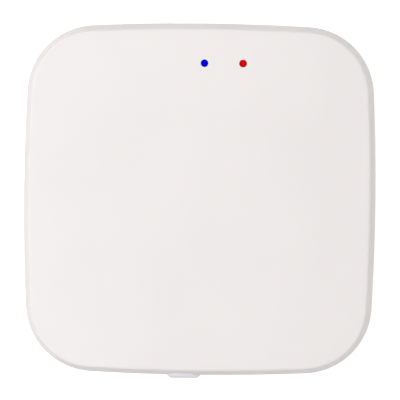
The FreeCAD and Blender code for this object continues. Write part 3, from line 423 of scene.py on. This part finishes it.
class Relief:
    """Low closed solids gathered into one piece that rides on the case."""

    def __init__(self):
        self.mesh = bmesh.new()

    def prism(self, outline, low, high):
        """An upright prism over a counter-clockwise outline."""
        bottom = [self.mesh.verts.new((x, y, low)) for x, y in outline]
        top = [self.mesh.verts.new((x, y, high)) for x, y in outline]
        self.mesh.faces.new(bottom[::-1])
        self.mesh.faces.new(top)
        for a, b, c, d in zip(bottom, bottom[1:] + bottom[:1], top[1:] + top[:1], top):
            self.mesh.faces.new((a, b, c, d))

    def loop(self, outer, inner, low, high):
        """An upright band between two counter-clockwise outlines of the same length."""
        rows = []
        for outline, z in ((outer, low), (outer, high), (inner, high), (inner, low)):
            rows.append([self.mesh.verts.new((x, y, z)) for x, y in outline])
        for row, following in zip(rows, rows[1:] + rows[:1]):
            for a, b, c, d in zip(row, row[1:] + row[:1], following[1:] + following[:1], following):
                self.mesh.faces.new((a, b, c, d))

    def ring(self, x, y, outer, inner, low, high, sides=20):
        """An upright tube between two radii."""
        turns = [2 * math.pi * number / sides for number in range(sides)]
        circles = [[(x + r * math.cos(t), y + r * math.sin(t)) for t in turns] for r in (outer, inner)]
        self.loop(*circles, low, high)

    def border(self, box, width, low, high):
        """A rectangular line whose inner edge is box: (x0, y0, x1, y1)."""
        x0, y0, x1, y1 = box
        inner = [(x0, y0), (x1, y0), (x1, y1), (x0, y1)]
        x0, y0, x1, y1 = x0 - width, y0 - width, x1 + width, y1 + width
        self.loop([(x0, y0), (x1, y0), (x1, y1), (x0, y1)], inner, low, high)

    def track(self, points, width, low, high):
        """A line of even width through points, with mitred bends."""
        points = [Vector(point) for point in points]
        left, right = [], []
        for number, point in enumerate(points):
            before = (point - points[number - 1]).normalized() if number else None
            after = (points[number + 1] - point).normalized() if number + 1 < len(points) else None
            heading = ((before or after) + (after or before)).normalized()
            reach = width / 2 / heading.dot(after or before)
            side = Vector((-heading.y, heading.x)) * reach
            left.append(tuple(point + side))
            right.append(tuple(point - side))
        self.prism(right + left[::-1], low, high)

    def fillet(self, foot, outward, width, height, reach, low):
        """A concave solder slope that leans against an upright face."""
        along = Vector(outward)
        across = Vector((-along.y, along.x)) * width / 2
        slope = [(-SLOPE_SUNK, 0)]
        slope += [(run * reach, rise * height) for run, rise in SLOPE_CURVE]
        slope += [(SLOPE_TOP, height), (-SLOPE_SUNK, height)]
        sides = []
        for sign in (-1, 1):
            sides.append([
                self.mesh.verts.new((*(Vector(foot) + along * run + across * sign), low + rise))
                for run, rise in slope
            ])
        self.mesh.faces.new(sides[0])
        self.mesh.faces.new(sides[1][::-1])
        for a, b, c, d in zip(sides[0], sides[1], sides[1][1:] + sides[1][:1], sides[0][1:] + sides[0][:1]):
            self.mesh.faces.new((a, b, c, d))

    def piece(self, name, slot, material):
        """Turns what has been gathered into an object, in metres."""
        bmesh.ops.recalc_face_normals(self.mesh, faces=self.mesh.faces)
        bmesh.ops.scale(self.mesh, vec=(MM, MM, MM), verts=self.mesh.verts)
        made = new_object(name, self.mesh, material)
        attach(made, "case")


# two-ended parts: their bodies and their end caps
CAPPED_PARTS = (
    ("resistor_bodies", "resistor_ends"),
    ("ceramic_capacitor_bodies", "ceramic_capacitor_ends"),
    ("resettable_fuse", "fuse_ends"),
)
# radio modules: their boards and the solder along their sides
MODULES = (
    ("wlan_module_board", "wlan_module_solder"),
    ("mesh_module_board", "mesh_module_solder"),
)
# large parts with a printed outline
OUTLINED = (
    "switch_bracket", "usb_shell", "input_capacitor_base", "output_capacitor", "regulator_body",
    "surge_diode_body", "blue_led_base", "red_led_base",
)
# all that the vias keep clear of
ON_BOARD = (
    *(node for pair in CAPPED_PARTS + MODULES for node in pair),
    *OUTLINED,
    "switch_housing", "switch_terminals", "usb_insulator", "usb_contacts", "input_capacitor_terminals",
    "regulator_leads", "surge_diode_leads", "debug_pads", "board_screws",
)

SUNK = 0.01                # how far each line or ring is let into its surface
TRACK_WIDTH = 0.25
TRACK_HEIGHT = 0.03
TRACK_STEP = 0.5           # spacing of the points that keep vias off a track
VIA_RADIUS = 0.3
VIA_BORE = 0.15            # radius of its hole
VIA_RISE = 0.015           # how far its upper ring stands above a track
VIA_SPACING = 1.0          # the least, from another via or from a track
VIA_EDGE = 1.6             # from the board's edge to the nearest via
VIA_REACH = 1.22           # from the board's middle to the furthest via, as a share of half its width
STITCH_PITCH = 3.1
STITCH_START = (0.4, -0.3)
STITCH_CLEAR = 0.55        # from a part to the middle of a via that ties the faces together
FAN_CLEAR = 0.15           # from a part to the ring of a via at the end of a track
PART_FAN = (0.5, 0.5, 0.3)  # a track's lengths: out, over by 45 degrees, and on
MODULE_FAN = (1.2, 0.5, 0.6)
FAN_START = 0.3            # from a small part's end to where its track starts
SLOPE_REACH = 0.4
SLOPE_SHARE = 0.75         # a solder slope's height as a share of its part's
INK_WIDTH = 0.14
INK_HEIGHT = 0.045
INK_EDGE = 0.5             # from the board's edge to the nearest printed line
INK_GAP = 0.35             # from a large part to its printed outline
SIDE_GAP = 0.3             # from a small part to the line at its side
SIDE_HALF = 0.45           # half the length of that line
CORNER_MARK = (1.1, 2.2)   # how far a radio module's corner marks run along X and Y
FIDUCIAL_INSET = (8.5, 2.2)  # from the board's corner
FIDUCIAL_DOT = (0.5, 0.02)  # outer and inner radius
FIDUCIAL_RING = (1.1, 0.98)


def middle(box):
    """The middle of a (low, high) box."""
    return (box[0] + box[1]) / 2


def outward_of(part, bodies):
    """Unit step, along X or Y, from the nearest body to one of its ends."""
    centre = middle(part)
    body = min((middle(b) for b in bodies), key=lambda m: (m - centre).xy.length)
    away = (centre - body).xy
    if abs(away.x) > abs(away.y):
        return Vector((math.copysign(1, away.x), 0))
    return Vector((0, math.copysign(1, away.y)))


def dogleg(start, outward, lengths, side):
    """Straight out, over by 45 degrees, and straight on again."""
    slant = (outward + Vector((-outward.y, outward.x)) * side) * lengths[1]
    first = start + outward * lengths[0]
    second = first + slant
    return [start, first, second, second + outward * lengths[2]]


class BoardFinish:
    """Everything thin on the circuit boards: tracks, vias, solder slopes and printed outlines."""

    def __init__(self):
        self.low, self.high = in_mm(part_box("main_board"))
        self.taken = [box for node in ON_BOARD for box in node_parts(node)]
        self.via_centres = []
        self.routed = []
        self.tracks, self.vias, self.slopes, self.ink = Relief(), Relief(), Relief(), Relief()

    def free(self, x, y, margin):
        """Whether a via may go here: well inside the board, and nothing within margin."""
        if not self.low.x + VIA_EDGE < x < self.high.x - VIA_EDGE:
            return False
        if not self.low.y + VIA_EDGE < y < self.high.y - VIA_EDGE:
            return False
        if math.hypot(x, y) > self.high.x * VIA_REACH:
            return False
        for low, high in self.taken:
            if low.x - margin < x < high.x + margin and low.y - margin < y < high.y + margin:
                return False
        return all(math.dist((x, y), other) > VIA_SPACING for other in self.via_centres + self.routed)

    def via(self, x, y):
        """A plated hole, seen as a ring on each face of the board."""
        top, bottom = self.high.z, self.low.z
        self.vias.ring(x, y, VIA_RADIUS, VIA_BORE, top - SUNK, top + TRACK_HEIGHT + VIA_RISE)
        self.vias.ring(x, y, VIA_RADIUS, VIA_BORE, bottom - TRACK_HEIGHT, bottom + SUNK)
        self.via_centres.append((x, y))

    def route(self, points):
        """A track on the board's top."""
        self.tracks.track(points, TRACK_WIDTH, self.high.z - SUNK, self.high.z + TRACK_HEIGHT)
        for start, end in zip(points, points[1:]):
            steps = max(1, round((end - start).length / TRACK_STEP))
            self.routed += [tuple(start.lerp(end, step / steps)) for step in range(steps + 1)]

    def fan_out(self, start, outward, lengths, side):
        """A short track that ends in a via, where there is room for one."""
        points = dogleg(start, outward, lengths, side)
        end = points[-1]
        if self.free(end.x, end.y, VIA_RADIUS + FAN_CLEAR):
            self.route(points)
            self.via(end.x, end.y)

    def small_parts(self):
        """Solder slopes, side lines and fan-outs of the two-ended parts."""
        for body_node, end_node in CAPPED_PARTS:
            bodies = node_parts(body_node)
            for number, end in enumerate(node_parts(end_node)):
                outward = outward_of(end, bodies)
                size = end[1] - end[0]
                across = size.y if outward.x else size.x
                half = (size.x if outward.x else size.y) / 2
                face = middle(end).xy + outward * half
                self.slopes.fillet(face, outward, across, SLOPE_SHARE * size.z, SLOPE_REACH, self.high.z)
                self.fan_out(face + outward * FAN_START, outward, PART_FAN, 1 if number % 2 else -1)
            for body in bodies:
                size = body[1] - body[0]
                lying = size.x > size.y
                along = Vector((SIDE_HALF, 0)) if lying else Vector((0, SIDE_HALF))
                aside = Vector((0, size.y / 2 + SIDE_GAP)) if lying else Vector((size.x / 2 + SIDE_GAP, 0))
                for centre in (middle(body).xy - aside, middle(body).xy + aside):
                    self.print_line([centre - along, centre + along])

    def modules(self):
        """The fan of tracks from each radio module's pads."""
        for board_node, solder_node in MODULES:
            body = middle(in_mm(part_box(board_node)))
            for box in node_parts(solder_node):
                centre = middle(box)
                outward = Vector((0, math.copysign(1, centre.y - body.y)))
                side = math.copysign(1, outward.y * (body.x - centre.x))
                self.fan_out(centre.xy, outward, MODULE_FAN, side)

    def stitching(self):
        """Vias that tie the two faces together wherever there is room."""
        steps = int(self.high.x / STITCH_PITCH)
        for row in range(-steps, steps + 1):
            for column in range(-steps, steps + 1):
                x = column * STITCH_PITCH + STITCH_START[0]
                y = row * STITCH_PITCH + STITCH_START[1]
                if self.free(x, y, STITCH_CLEAR):
                    self.via(x, y)

    def print_line(self, points):
        """A printed line on the board's top."""
        self.ink.track(points, INK_WIDTH, self.high.z - SUNK, self.high.z + INK_HEIGHT)

    def outlines(self):
        """A printed frame round each large part, and marks round the corners of the radio modules."""
        for node in OUTLINED:
            low, high = in_mm(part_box(node))
            box = (
                max(low.x - INK_GAP, self.low.x + INK_EDGE), max(low.y - INK_GAP, self.low.y + INK_EDGE),
                min(high.x + INK_GAP, self.high.x - INK_EDGE), min(high.y + INK_GAP, self.high.y - INK_EDGE),
            )
            self.ink.border(box, INK_WIDTH, self.high.z - SUNK, self.high.z + INK_HEIGHT)
        for board_node, _ in MODULES:
            low, high = in_mm(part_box(board_node))
            for y, y_in in ((low.y, 1), (high.y, -1)):
                for x, x_in in ((low.x, 1), (high.x, -1)):
                    corner = Vector((x - x_in * INK_GAP, y - y_in * INK_GAP))
                    along_x = Vector((x_in * CORNER_MARK[0], 0))
                    along_y = Vector((0, y_in * CORNER_MARK[1]))
                    self.print_line([corner + along_x, corner, corner + along_y])

    def fiducials(self):
        """Three bare copper dots for the assembly camera."""
        for x_sign, y_sign in ((-1, -1), (1, -1), (1, 1)):
            x = x_sign * (self.high.x - FIDUCIAL_INSET[0])
            y = y_sign * (self.high.y - FIDUCIAL_INSET[1])
            self.vias.ring(x, y, *FIDUCIAL_DOT, self.high.z - SUNK, self.high.z + TRACK_HEIGHT)
            self.ink.ring(x, y, *FIDUCIAL_RING, self.high.z - SUNK, self.high.z + INK_HEIGHT)
            self.via_centres.append((x, y))

    def finish(self, materials):
        """Lays everything out, each kind clear of what is there already, and makes the pieces."""
        self.fiducials()
        self.small_parts()
        self.modules()
        self.stitching()
        self.outlines()
        self.tracks.piece("board_tracks", "board_green", masked_copper())
        self.vias.piece("board_vias", "tin", materials["tin"])
        self.slopes.piece("part_solder", "solder", materials["solder"])
        self.ink.piece("board_print", "label_paper", printing_ink())


DOME_SIDES = 64
DOME_RINGS = 12
DOME_SHEET = 0.07 * MM
DIMPLE_REACH = 0.22        # share of the snap disc's radius that its dimple takes
DIMPLE_DEPTH = 0.08        # and of its rise


def snap_dome(material):
    """The switch's snap disc, made at rest; the real disc flattens as the plunger presses on it."""
    low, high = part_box("switch_dome")
    centre = (low + high) / 2
    radius = (high.x - low.x) / 2
    rise = high.y - low.y - DOME_SHEET
    mesh = bmesh.new()

    def depth(share):
        """How far the disc has fallen back from its apex, with a small dimple in the middle."""
        dimple = DIMPLE_DEPTH * max(0.0, 1 - (share / DIMPLE_REACH) ** 2) ** 2
        return rise * min(1.0, share**2 + dimple)

    def row(share, behind):
        """Points round the disc at a share of its radius, or one point repeated at its middle."""
        y = low.y + depth(share) + behind
        if share == 0:
            return [mesh.verts.new((centre.x, y, centre.z))] * DOME_SIDES
        points = []
        for number in range(DOME_SIDES):
            turn = 2 * math.pi * number / DOME_SIDES
            x = centre.x + radius * share * math.cos(turn)
            z = centre.z + radius * share * math.sin(turn)
            points.append(mesh.verts.new((x, y, z)))
        return points

    shares = [number / DOME_RINGS for number in range(DOME_RINGS + 1)]
    rows = [row(share, 0) for share in shares] + [row(share, DOME_SHEET) for share in reversed(shares)]
    for near, far in zip(rows, rows[1:]):
        for a, b, c, d in zip(near, near[1:] + near[:1], far[1:] + far[:1], far):
            corners = list(dict.fromkeys((a, b, c, d)))
            mesh.faces.new(corners).smooth = True
    bmesh.ops.recalc_face_normals(mesh, faces=mesh.faces)
    made = new_object("snap_dome", mesh, material)
    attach(made, "case")
    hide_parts("switch_dome")
    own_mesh(made)


SKIN_MM = 1.5              # thickness of the lid's roof and of the tray's floor
LID_MARKS = ((-16, 14), (16, 14), (-16, -4), (16, -4), (-5, -4), (5, -4))
TRAY_MARKS = ((-12, 0), (12, 0), (0, 10), (0, -10), (-23, 6), (23, 6))
MARK_RADII = (1.5, 1.38)   # outer and inner
MARK_HEIGHT = 0.04
MARK_SIDES = 40


def ejector_marks(material):
    """The faint rings that the mould's ejector pins leave inside the lid and the tray."""
    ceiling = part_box("top_cover")[1].z / MM - SKIN_MM
    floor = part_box("bottom_case")[0].z / MM + SKIN_MM
    for name, places, low, high in (
        ("lid_ejector_marks", LID_MARKS, ceiling - MARK_HEIGHT, ceiling + SUNK),
        ("tray_ejector_marks", TRAY_MARKS, floor - SUNK, floor + MARK_HEIGHT),
    ):
        marks = Relief()
        for x, y in places:
            marks.ring(x, y, *MARK_RADII, low, high, MARK_SIDES)
        marks.piece(name, "case_white", material)


# ---- stage, in metres and watts -------------------------------------------------
FLOOR_SIZE = 4.0
FLOOR_LIFT = 0.55          # keeps the table white in the picture, and lights nothing
WORLD_STRENGTH = 0.561


def make_floor():
    """A plain pale table top."""
    bpy.ops.mesh.primitive_plane_add(size=FLOOR_SIZE, location=(0, 0, 0))
    floor = bpy.context.object
    floor.name = "floor"
    paint = Paint("floor_white", 0.6)
    soft = paint.noise(0.01, 2.0)
    paint.colour(paint.blend(paint.spread(soft, 0, 1), (0.84, 0.84, 0.84), (0.86, 0.86, 0.86)))
    seen = paint.node("ShaderNodeLightPath")
    lift = paint.node("ShaderNodeMath", operation="MULTIPLY")
    lift.inputs[1].default_value = FLOOR_LIFT
    paint.link(seen.outputs["Is Camera Ray"], lift.inputs[0])
    paint.link(lift.outputs["Value"], paint.shader.inputs["Emission Strength"])
    paint.shader.inputs["Emission Color"].default_value = (1, 1, 1, 1)
    floor.data.materials.append(paint.material)


def soft_box(name, place, size, power, colour=(1, 1, 1), mirrored=True):
    """A square area light that points at the hub, and may be kept out of its reflections."""
    data = bpy.data.lights.new(name, "AREA")
    data.size = size
    data.energy = power
    data.color = colour
    lamp = bpy.data.objects.new(name, data)
    lamp.location = place
    lamp.rotation_euler = (-Vector(place)).to_track_quat("-Z", "Y").to_euler()
    lamp.visible_glossy = mirrored
    bpy.context.scene.collection.objects.link(lamp)


def light_stage():
    """A soft box overhead, two on the left, one far off and low on the right, and light all round."""
    soft_box("overhead", (-0.15, 0.0, 0.40), 0.35, 0.431)
    soft_box("left_side", (-0.26, 0.0, 0.34), 0.3, 0.425, (1.0, 1.0, 1.08))
    soft_box("left_back", (-0.25, 0.22, 0.35), 0.3, 0.387)
    soft_box("right_fill", (0.951, 0.0, 0.309), 0.5, 1.7, mirrored=False)
    world = bpy.data.worlds.new("studio")
    world.use_nodes = True
    background = world.node_tree.nodes["Background"]
    background.inputs["Color"].default_value = (1, 1, 1, 1)
    background.inputs["Strength"].default_value = WORLD_STRENGTH
    bpy.context.scene.world = world


AIM = (0.0001, -0.000075)  # where the camera points, at the level of the tray's top
VIEW_DISTANCE = 0.5        # from the camera to that point
VIEW_WIDTH = 0.06804       # how much the picture takes in at that level
LEAN_RIGHT = math.radians(0.82)
LEAN_BACK = math.radians(1.63)
ROLL = math.radians(0.54)
SENSOR = 36.0              # width of the sensor, in millimetres


def make_camera():
    """Almost straight above the hub, a touch to the right and towards its socket side."""
    target = Vector((*AIM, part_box("bottom_case")[1].z))
    back = Vector((math.tan(LEAN_RIGHT), math.tan(LEAN_BACK), 1.0)).normalized()
    across = Vector((0, 1, 0)).cross(back).normalized()
    up = back.cross(across)
    turn = Matrix((across, up, back)).transposed() @ Matrix.Rotation(ROLL, 3, "Z")
    data = bpy.data.cameras.new("camera")
    data.sensor_width = SENSOR
    data.lens = SENSOR * VIEW_DISTANCE / VIEW_WIDTH
    data.clip_start = 0.01
    camera = bpy.data.objects.new("camera", data)
    camera.matrix_world = Matrix.Translation(target + back * VIEW_DISTANCE) @ turn.to_4x4()
    bpy.context.scene.collection.objects.link(camera)
    bpy.context.scene.camera = camera


materials = all_materials()
paint_cad_nodes(materials)
BoardFinish().finish(materials)
snap_dome(materials["spring_steel"])
ejector_marks(materials["case_white"])
make_floor()
light_stage()
make_camera()
bpy.context.scene.view_settings.view_transform = "Standard"
